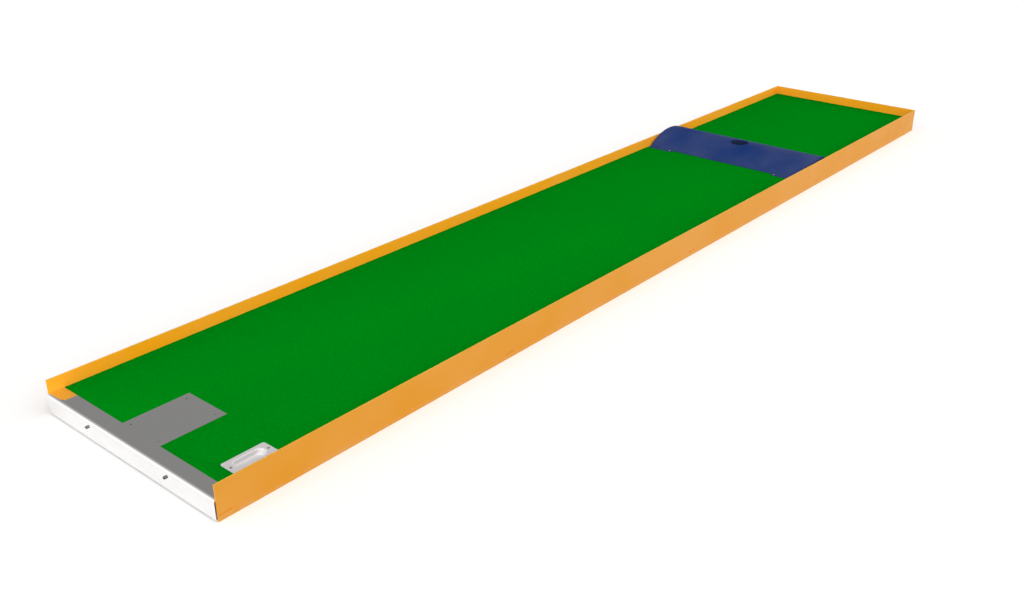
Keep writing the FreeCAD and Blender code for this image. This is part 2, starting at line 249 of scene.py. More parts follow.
@dataclass(frozen=True)
class PowderCoat(Finish):
    """Sprayed and baked coat with a fine orange peel.

    Its top edge may be rubbed and carry a painted highlight, the part near the floor dusty, and the
    faces beyond a distance from the lane's middle, across and along, carry a painted shade: a darker tone of
    their own.
    """

    colour: Colour
    rubbed_and_highlit: Colour
    roughness: float = 0.42
    specular: float = 0.35
    highlight_from: float = 0.0
    highlight_to: float = 0.0
    dusty: bool = False
    outer_face_shade: Colour | None = None
    outer_face_shade_from: Flat = (0.0, 0.0)

    def material(self) -> bpy.types.Material:
        """Build the coat's material."""
        graph = Graph(self.name)
        tone = self.colour
        # Painted shade: the outer faces, beyond a distance across and along, take a darker tone to offset the
        # floor's bounce light.
        if self.outer_face_shade:
            across = graph.math("ABSOLUTE", graph.axis("X"), 0.0)
            along = graph.axis("Y")
            side, end = self.outer_face_shade_from
            change = 0.0004
            beyond = graph.math(
                "MAXIMUM", graph.span(across, side, side + change), graph.span(along, end, end + change)
            )
            tone = graph.blend(beyond, tone, self.outer_face_shade)
        cloud = graph.noise(3.5, 3.0)
        paler = graph.blend(0.06, tone, (1.0, 0.9, 0.7))
        tone = graph.blend(graph.span(cloud, 0.3, 0.7, 0.0, 0.6), tone, paler)
        fleck = graph.noise(420.0, 1.0)
        tone = graph.blend(graph.span(fleck, 0.25, 0.75, 0.0, 0.03), tone, (0.1, 0.05, 0.02))
        # Worn edge and painted highlight: a yellower, streaked band along the top edge of the coat.
        if self.highlight_to > self.highlight_from:
            edge = graph.span(graph.axis("Z"), self.highlight_from, self.highlight_to)
            streaks = graph.span(graph.noise(26.0, 5.0, (6.0, 1.0, 3.0)), 0.36, 0.62)
            tone = graph.blend(graph.math("MULTIPLY", edge, streaks), tone, self.rubbed_and_highlit)
        if self.dusty:
            dust_top = 0.022
            low = graph.span(graph.axis("Z"), dust_top, 0.0)
            specks = graph.span(graph.noise(60.0, 6.0), 0.42, 0.75, 0.0, 0.35)
            tone = graph.blend(graph.math("MULTIPLY", low, specks), tone, (0.42, 0.37, 0.30))
        peel = graph.bump(graph.noise(650.0, 1.5), 0.00006, 0.5)
        waves = graph.bump(graph.noise(5.0, 1.0), 0.0006, 0.12, peel)
        rough = graph.span(graph.noise(14.0, 4.0), 0.3, 0.7, self.roughness - 0.05, self.roughness + 0.06)
        return graph.finish(Base_Color=tone, Roughness=rough, Normal=waves, Specular_IOR_Level=self.specular)


@dataclass(frozen=True)
class PolishedSteel(Finish):
    """Bright stainless sheet with scratches, smears and a rolling grain, and a painted shade above a level.
    """

    colour: Colour
    low: float = 0.045
    high: float = 0.11
    grain: float = 0.00001
    top_shade: float = 1.0
    top_shade_from: float = 1.0

    def material(self) -> bpy.types.Material:
        """Build the polished sheet's material."""
        graph = Graph(self.name)
        smears = graph.span(graph.noise(7.0, 5.0), 0.35, 0.7)
        tone = graph.blend(smears, self.colour, shaded(self.colour, 0.965))
        # Painted shade: above a level, the sheet's top face reflects darker than its skirt.
        change = 0.0015
        level = graph.span(graph.axis("Z"), self.top_shade_from, self.top_shade_from + change)
        tone = graph.blend(level, tone, shaded(self.colour, self.top_shade))
        scratches = graph.span(graph.noise(30.0, 3.0, (2.0, 45.0, 45.0)), 0.66, 0.78)
        crossing = graph.span(graph.noise(30.0, 3.0, (40.0, 3.0, 40.0)), 0.69, 0.80)
        marks = graph.math("MAXIMUM", scratches, crossing)
        rough = graph.math(
            "ADD", graph.span(smears, 0.0, 1.0, self.low, self.high), graph.math("MULTIPLY", marks, 0.10)
        )
        rolled = graph.bump(graph.noise(40.0, 2.0, (1.0, 30.0, 30.0)), self.grain, 0.6)
        cut = graph.bump(marks, 0.00001, 0.4, rolled)
        return graph.finish(Base_Color=tone, Metallic=1.0, Roughness=rough, Normal=cut)


@dataclass(frozen=True)
class BrushedSteel(Finish):
    """Steel with a brushed or plated grain, and a painted shade below a level, where a recess lies in shade.
    """

    colour: Colour
    tint: Colour
    roughness: float = 0.32
    stretch: Point = (60.0, 2.0, 60.0)
    grain_depth: float = 0.00003
    metallic: float = 1.0
    recess_shade: float = 1.0
    recess_shade_below: float = 0.0

    def material(self) -> bpy.types.Material:
        """Build the brushed steel's material."""
        graph = Graph(self.name)
        lines = graph.noise(30.0, 4.0, self.stretch)
        tone = graph.blend(graph.span(graph.noise(9.0, 3.0), 0.3, 0.7), self.colour, self.tint)
        tone = graph.blend(graph.span(lines, 0.35, 0.65, 0.0, 0.35), tone, shaded(self.tint, 0.85))
        # Painted shade: below a level the tone is darker, as the shade in a recess.
        change = 0.004
        level = graph.span(graph.axis("Z"), self.recess_shade_below - change, self.recess_shade_below, 1.0, 0.0)
        tone = graph.blend(level, tone, shaded(self.tint, self.recess_shade))
        rough = graph.span(lines, 0.3, 0.7, self.roughness - 0.07, self.roughness + 0.08)
        return graph.finish(
            Base_Color=tone, Metallic=self.metallic, Roughness=rough,
            Normal=graph.bump(lines, self.grain_depth, 0.6),
        )


@dataclass(frozen=True)
class Galvanised(Finish):
    """Zinc coat with its crystal spangle and dull patches."""

    colour: Colour
    spangle: float = 55.0

    def material(self) -> bpy.types.Material:
        """Build the zinc coat's material."""
        graph = Graph(self.name)
        crystal = graph.cells(self.spangle, "Color")
        bright = graph.span(crystal, 0.2, 0.9)
        tone = graph.blend(bright, shaded(self.colour, 0.78), shaded(self.colour, 1.12))
        dull = graph.span(graph.noise(11.0, 5.0), 0.45, 0.7)
        tone = graph.blend(graph.math("MULTIPLY", dull, 0.4), tone, (0.55, 0.55, 0.53))
        rough = graph.math(
            "ADD", graph.span(crystal, 0.0, 1.0, 0.34, 0.5), graph.math("MULTIPLY", dull, 0.15)
        )
        return graph.finish(
            Base_Color=tone, Metallic=0.9, Roughness=rough,
            Normal=graph.bump(graph.noise(320.0, 2.0), 0.00005, 0.5),
        )


@dataclass(frozen=True)
class PileCarpet(Finish):
    """Short dense green pile: tufts and single fibres, with painted shade between the tufts and along the lay
    of the pile.
    """

    tip: Colour
    root: Colour
    tufts: float = 360.0

    def material(self) -> bpy.types.Material:
        """Build the pile's material."""
        graph = Graph(self.name)
        tuft = graph.cells(self.tufts)
        fibre = graph.noise(1500.0, 2.0)
        mottle = graph.noise(2.2, 3.0)
        # Painted shade: the pile goes darker down between the tufts and in faint bands along its lay.
        lay_shade = graph.noise(70.0, 3.0, (3.0, 0.5, 1.0))
        depth = graph.math("ADD", graph.span(tuft, 0.15, 0.75), graph.span(fibre, 0.35, 0.75, -0.15, 0.25))
        tone = graph.blend(depth, self.tip, self.root)
        tone = graph.blend(graph.span(mottle, 0.3, 0.7, 0.0, 0.10), tone, shaded(self.tip, 1.15))
        tone = graph.blend(graph.span(lay_shade, 0.35, 0.7, 0.0, 0.12), tone, self.root)
        pile = graph.bump(graph.span(tuft, 0.0, 0.8, 1.0, 0.0), 0.0012, 0.75)
        hairs = graph.bump(fibre, 0.0006, 0.6, pile)
        return graph.finish(Base_Color=tone, Roughness=0.95, Normal=hairs, Specular_IOR_Level=0.0)


@dataclass(frozen=True)
class Fibre(Finish):
    """Loose yarn ends or woven backing."""

    colour: Colour
    dark: Colour

    def material(self) -> bpy.types.Material:
        """Build the yarn's material."""
        graph = Graph(self.name)
        ply = graph.noise(900.0, 3.0, (1.0, 1.0, 0.3))
        tone = graph.blend(graph.span(ply, 0.3, 0.7), self.colour, self.dark)
        return graph.finish(
            Base_Color=tone, Roughness=0.95, Specular_IOR_Level=0.04,
            Normal=graph.bump(ply, 0.0003, 0.6),
        )


@dataclass(frozen=True)
class Plywood(Finish):
    """Sealed plywood: long grain on the faces and stripes of plies on the edges."""

    early: Colour
    late: Colour
    ply: float = 0.0025

    def material(self) -> bpy.types.Material:
        """Build the board's material."""
        graph = Graph(self.name)
        grain = graph.noise(9.0, 6.0, (14.0, 1.0, 3.0))
        pores = graph.noise(160.0, 3.0, (4.0, 0.25, 4.0))
        tone = graph.blend(graph.span(grain, 0.35, 0.65), self.early, self.late)
        tone = graph.blend(graph.span(pores, 0.58, 0.72, 0.0, 0.5), tone, shaded(self.late, 0.6))
        stripe = graph.math("FRACT", graph.math("DIVIDE", graph.axis("Z"), 2 * self.ply), 0.0)
        band = graph.span(stripe, 0.45, 0.55, 0.0, 0.25)
        tone = graph.blend(band, tone, shaded(self.late, 0.75))
        return graph.finish(
            Base_Color=tone, Roughness=graph.span(grain, 0.3, 0.7, 0.55, 0.7),
            Normal=graph.bump(pores, 0.0002, 0.5),
        )


@dataclass(frozen=True)
class Moulded(Finish):
    """Moulded plastic or rubber with a fine grain and pale scuffs."""

    colour: Colour
    scuff: Colour
    roughness: float = 0.6
    specular: float = 0.3

    def material(self) -> bpy.types.Material:
        """Build the moulding's material."""
        graph = Graph(self.name)
        scuffs = graph.span(graph.noise(35.0, 6.0), 0.55, 0.8, 0.0, 0.5)
        tone = graph.blend(scuffs, self.colour, self.scuff)
        rough = graph.span(graph.noise(20.0, 4.0), 0.3, 0.7, self.roughness - 0.08, self.roughness + 0.08)
        return graph.finish(
            Base_Color=tone, Roughness=rough, Specular_IOR_Level=self.specular,
            Normal=graph.bump(graph.cells(900.0), 0.00012, 0.4),
        )


@dataclass(frozen=True)
class Concrete(Finish):
    """Plain pale studio floor with a trace of unevenness."""

    colour: Colour

    def material(self) -> bpy.types.Material:
        """Build the floor's material."""
        graph = Graph(self.name)
        cloud = graph.span(graph.noise(0.8, 2.0), 0.3, 0.7)
        tone = graph.blend(cloud, self.colour, shaded(self.colour, 0.995))
        return graph.finish(Base_Color=tone, Roughness=0.9, Specular_IOR_Level=0.0)


# Painted highlight on the rails' worn top edge; painted shade on their outer faces.
ORANGE = PowderCoat(
    "orange_powder_coat", (0.93, 0.355, 0.004), (0.52, 0.34, 0.045), specular=0.18,
    highlight_from=0.1225, highlight_to=0.1243, dusty=True,
    outer_face_shade=(0.555, 0.225, 0.006), outer_face_shade_from=(0.4485, 2.4985),
)
BLUE = PowderCoat("blue_powder_coat", (0.003, 0.025, 0.130), (0.04, 0.09, 0.28), 0.5, 0.012)
DARK_BLUE = PowderCoat("dark_blue_coat", (0.0005, 0.011, 0.062), (0.01, 0.02, 0.08), 0.6, 0.02)
# Painted shade darkens the sheet's top face above the play level.
MIRROR_SHEET = PolishedSteel(
    "polished_stainless_sheet", (0.935, 0.93, 0.925), top_shade=0.84, top_shade_from=0.075,
)
# Painted shade darkens the tray's trough below the rim.
TRAY_STEEL = BrushedSteel(
    "satin_tray_steel", (0.80, 0.79, 0.79), (0.76, 0.75, 0.76), 0.55,
    metallic=0.6, recess_shade=0.93, recess_shade_below=0.0765,
)
SCREW_STEEL = BrushedSteel("stainless_screws", (0.62, 0.61, 0.60), (0.48, 0.47, 0.46), 0.26, (9.0, 9.0, 9.0))
BLACK_STEEL = BrushedSteel("blackened_steel", (0.19, 0.19, 0.195), (0.13, 0.13, 0.135), 0.34, (9.0, 9.0, 9.0))
ZINC = BrushedSteel("zinc_plated_steel", (0.66, 0.64, 0.58), (0.56, 0.57, 0.58), 0.34, (9.0, 9.0, 20.0))
GALVANISED = Galvanised("galvanised_steel", (0.60, 0.62, 0.63))
WELD = BrushedSteel("bare_weld", (0.42, 0.38, 0.34), (0.30, 0.30, 0.36), 0.42, (20.0, 20.0, 20.0), 0.0001)
# The second colour is painted shade for the pile's depths.
PILE = PileCarpet("green_pile", (0.0, 0.244, 0.0074), (0.0, 0.162, 0.0047))
YARN = Fibre("green_yarn", (0.0006, 0.212, 0.0066), (0.0003, 0.122, 0.0044))
BACKING = Fibre("woven_backing", (0.010, 0.045, 0.014), (0.006, 0.020, 0.008))
PLYWOOD = Plywood("sealed_plywood", (0.52, 0.36, 0.20), (0.38, 0.24, 0.12))
PACKER = Moulded("grey_packer", (0.09, 0.09, 0.095), (0.18, 0.18, 0.18))
RUBBER = Moulded("black_rubber", (0.016, 0.016, 0.017), (0.07, 0.068, 0.065), 0.7, 0.25)
FLOOR = Concrete("pale_floor", (0.88, 0.88, 0.88))


# --------------------------------------------------------------------------- mesh helpers


def merge(mesh: bpy.types.Mesh, distance: float, turn_faces: bool) -> None:
    """Merge a mesh's vertices that lie within a distance, and point its faces outwards if asked."""
    work = bmesh.new()
    work.from_mesh(mesh)
    bmesh.ops.remove_doubles(work, verts=work.verts, dist=distance)
    if turn_faces:
        bmesh.ops.recalc_face_normals(work, faces=work.faces)
    work.to_mesh(mesh)
    work.free()


def finish_mesh(mesh: bpy.types.Mesh, sharp_degrees: float) -> None:
    """Merge doubles, point the faces outwards and shade all but the sharp edges smooth."""
    merge(mesh, MERGE, True)
    mesh.polygons.foreach_set("use_smooth", [True] * len(mesh.polygons))
    mesh.set_sharp_from_angle(angle=math.radians(sharp_degrees))
    mesh.update()


def place(
    mesh: bpy.types.Mesh,
    name: str,
    material: bpy.types.Material,
    stands_for: Sequence[str] = (),
    body: str = BODY,
) -> bpy.types.Object:
    """Put a mesh in the scene as one piece that rides on a body.

    Args:
        mesh: The finished mesh, in the lane's frame.
        name: Name of the piece.
        material: Its material.
        stands_for: CAD nodes that it replaces.
        body: The body that carries it.

    Returns:
        The new object.
    """
    piece = bpy.data.objects.new(name, mesh)
    bpy.context.scene.collection.objects.link(piece)
    mesh.materials.clear()
    mesh.materials.append(material)
    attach(piece, body)
    if stands_for:
        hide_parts(*stands_for)
    LOG.info("piece %s on %s: %d faces", name, body, len(mesh.polygons))
    return piece


class Solid:
    """Gathers vertices and faces of closed shapes into one mesh."""

    def __init__(self) -> None:
        """Start with nothing in it."""
        self.vertices: list[Point] = []
        self.faces: list[tuple[int, ...]] = []

    def rings(self, rings: Sequence[Sequence[Point]]) -> None:
        """Join rings of equal length with quads, in order along the shape, and cap both ends."""
        base = len(self.vertices)
        count = len(rings[0])
        for ring in rings:
            self.vertices.extend(tuple(point) for point in ring)
        top = base + (len(rings) - 1) * count
        for here in range(base, top, count):
            there = here + count
            for column in range(count):
                beside = (column + 1) % count
                self.faces.append((here + column, here + beside, there + beside, there + column))
        self.faces.append(tuple(base + column for column in reversed(range(count))))
        self.faces.append(tuple(top + column for column in range(count)))

    def add(self, points: Sequence[Point], faces: Sequence[Sequence[int]]) -> None:
        """Add a ready-made closed shape."""
        base = len(self.vertices)
        self.vertices.extend(tuple(point) for point in points)
        self.faces.extend(tuple(base + index for index in face) for face in faces)

    def mesh(self, name: str, sharp_degrees: float) -> bpy.types.Mesh:
        """Return the gathered shapes as one finished mesh."""
        mesh = bpy.data.meshes.new(name)
        mesh.from_pydata(self.vertices, [], self.faces)
        finish_mesh(mesh, sharp_degrees)
        return mesh


def centre_of(low: Vector, high: Vector) -> Flat:
    """Return the middle of a box, seen from above."""
    return (low.x + high.x) / 2, (low.y + high.y) / 2


def corners_of(low: Vector, high: Vector, inset: float, height: float) -> list[Point]:
    """Return the four corners of a box seen from above, moved inwards and put at a height."""
    return [
        (x, y, height)
        for x in (low.x + inset, high.x - inset)
        for y in (low.y + inset, high.y - inset)
    ]


def polar(centre: Flat, radius: float, angle: float, height: float) -> Point:
    """Return the point at a distance and an angle from an upright axis."""
    return centre[0] + radius * math.cos(angle), centre[1] + radius * math.sin(angle), height


def circle(radius: float, height: float, count: int, centre: Flat = (0.0, 0.0)) -> list[Point]:
    """Return a level ring of points."""
    return [polar(centre, radius, math.tau * step / count, height) for step in range(count)]


def lathe(profile: Sequence[Flat], count: int, centre: Flat) -> list[list[Point]]:
    """Return level rings that follow a profile of radius and height."""
    return [circle(radius, height, count, centre) for radius, height in profile]


def arc(centre: Flat, radius: float, start: float, end: float, steps: int) -> list[Flat]:
    """Return points along an arc, with its angles in degrees."""
    points = []
    for step in range(steps + 1):
        angle = math.radians(start + (end - start) * step / steps)
        points.append(polar(centre, radius, angle, 0.0)[:2])
    return points


def filled_outline(
    name: str, outlines: Sequence[Sequence[Flat]], bottom: float, top: float, edge: float
) -> bpy.types.Mesh:
    """Return a flat sheet with rounded edges and any holes, as one closed mesh.

    Args:
        name: Name of the mesh.
        outlines: The outer loop, then one loop for each hole, seen from above.
        bottom: Height of its lower face.
        top: Height of its upper face.
        edge: Radius of its rounded edges.

    Returns:
        The mesh, not yet shaded.
    """
    data = bpy.data.curves.new(name, "CURVE")
    data.dimensions = "2D"
    data.fill_mode = "BOTH"
    for outline in outlines:
        spline = data.splines.new("POLY")
        spline.points.add(len(outline) - 1)
        for point, (x, y) in zip(spline.points, outline):
            point.co = (x, y, 0.0, 1.0)
        spline.use_cyclic_u = True
    data.extrude = (top - bottom) / 2 - edge
    data.bevel_depth = edge
    data.bevel_resolution = 1
    data.offset = -edge
    helper = bpy.data.objects.new(name, data)
    bpy.context.scene.collection.objects.link(helper)
    bpy.context.view_layer.update()
    graph = bpy.context.evaluated_depsgraph_get()
    mesh = bpy.data.meshes.new_from_object(helper.evaluated_get(graph))
    bpy.data.objects.remove(helper)
    bpy.data.curves.remove(data)
    mesh.transform(Matrix.Translation((0.0, 0.0, (top + bottom) / 2)))
    merge(mesh, 2 * NEARLY_ZERO, False)
    return mesh


def socket_radius(kind: Socket, size: float, angle: float) -> float:
    """Return how far a drive recess reaches from its centre in one direction."""
    if kind is Socket.HEX:
        folded = (angle % math.radians(60)) - math.radians(30)
        return size / 2 / math.cos(folded)
    folded = angle % math.radians(90)
    folded = min(folded, math.radians(90) - folded)
    half_arm = size * 0.14
    along = size / 2 / max(math.cos(folded), NEARLY_ZERO)
    across = half_arm / max(math.sin(folded), NEARLY_ZERO)
    return min(along, across)


@dataclass(frozen=True)
class Screw:
    """One screw: its head's profile, its drive recess and its plain shank.

    The profile runs from the shank's end up to the rim of the head's top, as radius and height,
    with height 0 at the level that the head is placed by.
    """

    profile: tuple[Flat, ...]
    crown: tuple[Flat, ...]
    drive: Socket
    drive_size: float
    drive_depth: float
    count: int = 48

    def rings(self, spin: float) -> list[list[Point]]:
        """Return the screw's rings about the Z axis, turned by an angle."""
        rings = [circle(radius, height, self.count) for radius, height in self.profile + self.crown]
        level = self.crown[-1][1]
        angles = [math.tau * step / self.count for step in range(self.count)]
        for share, drop in ((1.0, 0.0), (0.9, self.drive_depth * 0.7), (0.55, self.drive_depth)):
            reaches = [socket_radius(self.drive, self.drive_size, angle) * share for angle in angles]
            rings.append([
                polar((0.0, 0.0), reach, angle, level - drop) for reach, angle in zip(reaches, angles)
            ])
        turn = Matrix.Rotation(spin, 3, "Z")
        return [[tuple(turn @ Vector(point)) for point in ring] for ring in rings]


def bead(
    solid: Solid, first: Point, last: Point, outwards: Point, size: float, draw: random.Random
) -> None:
    """Add one weld bead with the ripples of its passes.

    Args:
        solid: The mesh in the making.
        first: One end, in the corner that the weld fills.
        last: The other end.
        outwards: Direction out of the corner, of any length.
        size: Leg of the weld.
        draw: Source of the small unevenness.
    """
    start, end, facing = Vector(first), Vector(last), Vector(outwards).normalized()
    along = (end - start).normalized()
    aside = along.cross(facing).normalized()
    length = (end - start).length
    ripple, fewest, sides = size * 0.45, 6, 10
    steps = max(fewest, int(length / ripple))
    rings = []
    for step in range(steps + 1):
        share = step / steps
        taper = min(1.0, 5 * share + 0.25, 5 * (1 - share) + 0.25)
        swell = size * taper * (0.92 + 0.1 * math.cos(step * math.pi) + draw.uniform(-0.04, 0.04))
        middle = start + along * (length * share)
        ring = []
        for turn in range(sides):
            angle = math.tau * turn / sides
            out, across = swell * 0.5 * math.cos(angle), swell * 0.75 * math.sin(angle)
            ring.append(tuple(middle + facing * out + aside * across))
        rings.append(ring)
    solid.rings(rings)


# --------------------------------------------------------------------------- the lane's parts


@dataclass
class Shop:
    """Makes each finish's material once and dresses CAD nodes with it."""

    made: dict[str, bpy.types.Material] = field(default_factory=dict)

    def get(self, finish: Finish) -> bpy.types.Material:
        """Return the finish's material."""
        if finish.name not in self.made:
            self.made[finish.name] = finish.material()
        return self.made[finish.name]

    def dress(self, frame: dict, finish: Finish, *nodes: str) -> None:
        """Give CAD nodes a finish in all their material slots."""
        for node in nodes:
            thing = frame["nodes"][node]
            for place_in_mesh in thing.material_slots:
                place_in_mesh.material = self.get(finish)
            LOG.info("dressed %s with %s", node, finish.name)

    def make(
        self,
        solid: Solid,
        name: str,
        sharp_degrees: float,
        finish: Finish,
        stands_for: Sequence[str] = (),
        body: str = BODY,
    ) -> bpy.types.Object:
        """Turn a gathered solid into one placed piece; the arguments go on to place()."""
        return place(solid.mesh(name, sharp_degrees), name, self.get(finish), stands_for, body)

    def drive(
        self, name: str, screw: Screw, points: Sequence[Point], axis: Point, seed: int,
        finish: Finish, node: str,
    ) -> None:
        """Place a set of equal screws as one piece.

        Args:
            name: Name of the piece.
            screw: The screw they all are.
            points: Where each head is.
            axis: Direction that the heads face.
            seed: Seed for how far each one was turned in.
            finish: Their finish.
            node: The CAD node that they replace.
        """
        draw = random.Random(seed)
        solid = Solid()
        aim = Vector(axis).to_track_quat("Z", "Y").to_matrix()
        for point in points:
            rings = screw.rings(draw.uniform(0.0, math.tau))
            solid.rings([[tuple(aim @ Vector(spot) + Vector(point)) for spot in ring] for ring in rings])
        self.make(solid, name, 30.0, finish, [node])


@dataclass
class Rails:
    """Orange side rails and end rail, with the welds inside the far corners."""

    weld_leg: float = 0.003
    corner_inset: float = 0.0006
    below_edge: float = 0.002

    def build(self, frame: dict, shop: Shop) -> None:
        """Dress the rails and weld the far corners."""
        shop.dress(frame, ORANGE, "left_rail", "right_rail", "end_rail")
        low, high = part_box("end_rail")
        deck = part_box("carpet")[1].z
        draw = random.Random(11)
        solid = Solid()
        for side in Side:
            x = side.value * (high.x - self.corner_inset)
            top = high.z - self.below_edge
            bead(
                solid, (x, low.y, deck), (x, low.y, top), (-side.value, -1.0, 0.0), self.weld_leg, draw
            )
        shop.make(solid, "corner_welds", WELD_SHARP, ORANGE)


@dataclass
class Underframe:
    """Ledges, cross members, battens, gussets and the stitch welds that hold them."""

    weld_leg: float = 0.003
    weld_inset: float = 0.001
    weld_margin: float = 0.004
    stitch: float = 0.03
    pitch: float = 0.3
    tab_thick: float = 0.0025
    coat_thick: float = 0.0004
    coat_inset: float = 0.0013

    def build(self, frame: dict, shop: Shop) -> None:
        """Dress the steelwork and add its welds."""
        members = [node for node in frame["nodes"] if node.startswith("cross_member_")]
        shop.dress(frame, GALVANISED, "left_ledge", "right_ledge", "battens", "corner_gussets", *members)
        shop.dress(frame, PLYWOOD, *DECK_BOARDS)
        shop.dress(frame, PACKER, "tee_packer", "tray_packer")
        shop.dress(frame, ZINC, "deck_screws", "front_bolt_nuts", "front_bolt_spacers", "foot_nuts")
        self.ledge_welds(shop)
        self.member_welds(shop, members)
        self.tab_coats(shop, members)

    def ledge_welds(self, shop: Shop) -> None:
        """Stitch the ledges' lower edges to the rails."""
        draw = random.Random(23)
        solid = Solid()
        for side, node in ((Side.LEFT, "left_ledge"), (Side.RIGHT, "right_ledge")):
            low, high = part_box(node)
            x = side.value * (max(abs(low.x), abs(high.x)) - self.weld_inset)
            y = low.y + self.pitch / 2
            while y + self.stitch < high.y:
                self.weld(solid, side, x, (y, y + self.stitch), low.z, draw)
                y += self.pitch
        shop.make(solid, "ledge_welds", WELD_SHARP, WELD)

    def member_welds(self, shop: Shop, members: Sequence[str]) -> None:
        """Weld each cross member's tabs to the inside of the rails."""
        draw = random.Random(37)
        solid = Solid()
        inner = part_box("end_rail")[1].x
        for node in members:
            low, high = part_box(node)
            for side in Side:
                x = side.value * (inner - self.weld_inset)
                run = (low.y + self.weld_margin, high.y - self.weld_margin)
                self.weld(solid, side, x, run, low.z, draw)
        shop.make(solid, "member_welds", WELD_SHARP, WELD)

    def weld(
        self, solid: Solid, side: Side, x: float, run: Flat, height: float, draw: random.Random
    ) -> None:
        """Lay one bead along a run of Y, facing down and towards the lane's middle."""
        outwards = (-side.value, 0.0, -1.0)
        bead(solid, (x, run[0], height), (x, run[1], height), outwards, self.weld_leg, draw)

    def tab_coats(self, shop: Shop, members: Sequence[str]) -> None:
        """Coat the ends of the members' tabs, which show in the rails' slots."""
        solid = Solid()
        for node in members:
            low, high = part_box(node)
            for side in Side:
                rings = []
                for step in (0, 1):
                    x = side.value * (high.x + step * self.coat_thick)
                    taper = step * SOFT_EDGE
                    inset = self.coat_inset + taper
                    near, far = low.y + inset, high.y - inset
                    bottom, top = low.z + taper, low.z + self.tab_thick - taper
                    rings.append([(x, near, bottom), (x, far, bottom), (x, far, top), (x, near, top)])
                solid.rings(rings)
        shop.make(solid, "tab_end_coats", 30.0, ORANGE)


@dataclass
class CarpetLane:
    """Green carpet with its woven backing and the yarn ends along every cut edge."""

    tab_half: float = 0.101
    window_corner: float = 0.0085
    gap: float = 0.0005
    edge: float = 0.0012
    backing: float = 0.0012
    yarn_pitch: float = 0.0022
    yarn_length: float = 0.0042
    yarn_radius: float = 0.0005

    def outline(self) -> list[Flat]:
        """Return the outer loop: the lane's width with a notch for the tee sheet's tab."""
        low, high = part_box("carpet")
        tab_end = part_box("tee_sheet")[1].y + self.gap
        half = self.tab_half + self.gap
        return [
            (low.x, low.y), (-half, low.y), (-half, tab_end), (half, tab_end),
            (half, low.y), (high.x, low.y), (high.x, high.y), (low.x, high.y),
        ]

    def window(self) -> list[Flat]:
        """Return the loop round the ball tray, with round corners."""
        low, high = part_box("ball_tray")
        radius = self.window_corner
        left, right = low.x - self.gap, high.x + self.gap
        near, far = low.y - self.gap, high.y + self.gap
        loop = []
        corners = ((right, near, -90), (right, far, 0), (left, far, 90), (left, near, 180))
        for x, y, start in corners:
            centre = (
                x - math.copysign(radius, x - (left + right) / 2),
                y - math.copysign(radius, y - (near + far) / 2),
            )
            loop.extend(arc(centre, radius, start, start + 90, 5))
        return loop

    def build(self, shop: Shop) -> None:
        """Lay the pile on its backing and finish the edges."""
        low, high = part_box("carpet")
        loops = [self.outline(), self.window()]
        seam = low.z + self.backing
        pile = filled_outline("carpet_pile", loops, seam, high.z, self.edge)
        finish_mesh(pile, 50.0)
        carpet = place(pile, "carpet_pile", shop.get(PILE), ["carpet"])
        base = filled_outline("carpet_backing", loops, low.z, seam, SOFT_EDGE)
        finish_mesh(base, 50.0)
        backing = place(base, "carpet_backing", shop.get(BACKING))
        fringe = self.fringe(shop, loops, seam, high.z)

    def fringe(
        self, shop: Shop, loops: Sequence[Sequence[Flat]], bottom: float, top: float
    ) -> bpy.types.Object:
        """Stand short yarn ends along the cut edges."""
        draw = random.Random(53)
        solid = Solid()
        for number, loop in enumerate(loops):
            for first, second in zip(loop, [*loop[1:], loop[0]]):
                self.fringe_run(solid, draw, first, second, bottom, top, 1 if number else -1)
        return shop.make(solid, "carpet_edge_yarn", 60.0, YARN)

    def fringe_run(
        self, solid: Solid, draw: random.Random, first: Flat, second: Flat,
        bottom: float, top: float, way: int,
    ) -> None:
        """Stand yarn ends along one straight run of an edge."""
        start, end = Vector(first), Vector(second)
        run = end - start
        if run.length < NEARLY_ZERO:
            return
        along = run.normalized()
        inwards = Vector((-along.y, along.x)) * (-way)
        for step in range(int(run.length / self.yarn_pitch)):
            spot = start + along * (self.yarn_pitch * (step + draw.uniform(0.1, 0.9)))
            spot += inwards * draw.uniform(0.0006, 0.0016)
            tip = spot + along * draw.uniform(-0.001, 0.001) - inwards * draw.uniform(-0.0006, 0.0008)
            root = top - self.yarn_length
            reach = min(top, root + self.yarn_length * draw.uniform(0.85, 1.0))
            radius = self.yarn_radius * draw.uniform(0.7, 1.1)
            ring = []
            for turn in range(3):
                angle = math.tau * turn / 3 + draw.uniform(0, 1)
                ring.append(polar(spot, radius, angle, max(bottom, root)))
            solid.add([*ring, (tip.x, tip.y, reach)], [(0, 2, 1), (0, 1, 3), (1, 2, 3), (2, 0, 3)])


